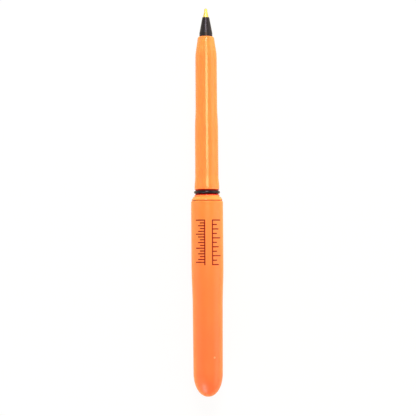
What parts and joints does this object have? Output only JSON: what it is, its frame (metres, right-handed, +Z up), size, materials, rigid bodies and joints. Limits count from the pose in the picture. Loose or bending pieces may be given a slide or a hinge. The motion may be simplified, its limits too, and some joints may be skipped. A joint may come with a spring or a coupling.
{
  "type": "pocket pen",
  "caption": "Moulded plastic ballpoint pocket pen with a rubber seal ring on its barrel and a bullet-shaped cap pushed on the back, lying on its side.",
  "frame": {"origin": "on the ground under the middle of the pen's length, with the pen lying on its side", "axes": "+X along the pen's axis towards the writing tip, +Z up, +Y to the left seen from the cap end"},
  "size_m": [0.14, 0.0114, 0.0115],
  "materials": {
    "cap_plastic": "satin orange moulded plastic",
    "barrel_plastic": "glossy orange moulded plastic",
    "seal_rubber": "smooth black nitrile rubber",
    "nose_plastic": "satin black moulded plastic",
    "point_brass": "turned brass",
    "ball_metal": "polished tungsten carbide",
    "tube_plastic": "translucent natural polypropylene",
    "ink_paste": "black ballpoint paste"
  },
  "bodies": {
    "barrel": {"barrel": "barrel_plastic", "end_plug": "barrel_plastic", "seal_ring": "seal_rubber", "nose": "nose_plastic", "point": "point_brass", "ink_tube": "tube_plastic", "ink": "ink_paste"},
    "cap": {"cap": "cap_plastic"},
    "ball": {"ball": "ball_metal"}
  },
  "joints": [
    {"name": "cap_slide", "type": "slide", "parent": "barrel", "child": "cap", "axis": [-1, 0, 0], "range_m": [0, 0.03]},
    {"name": "ball_roll", "type": "hinge", "parent": "barrel", "child": "ball", "pos_m": [0.0695, 0, 0.00575], "axis": [0, 1, 0], "continuous": true}
  ]
}
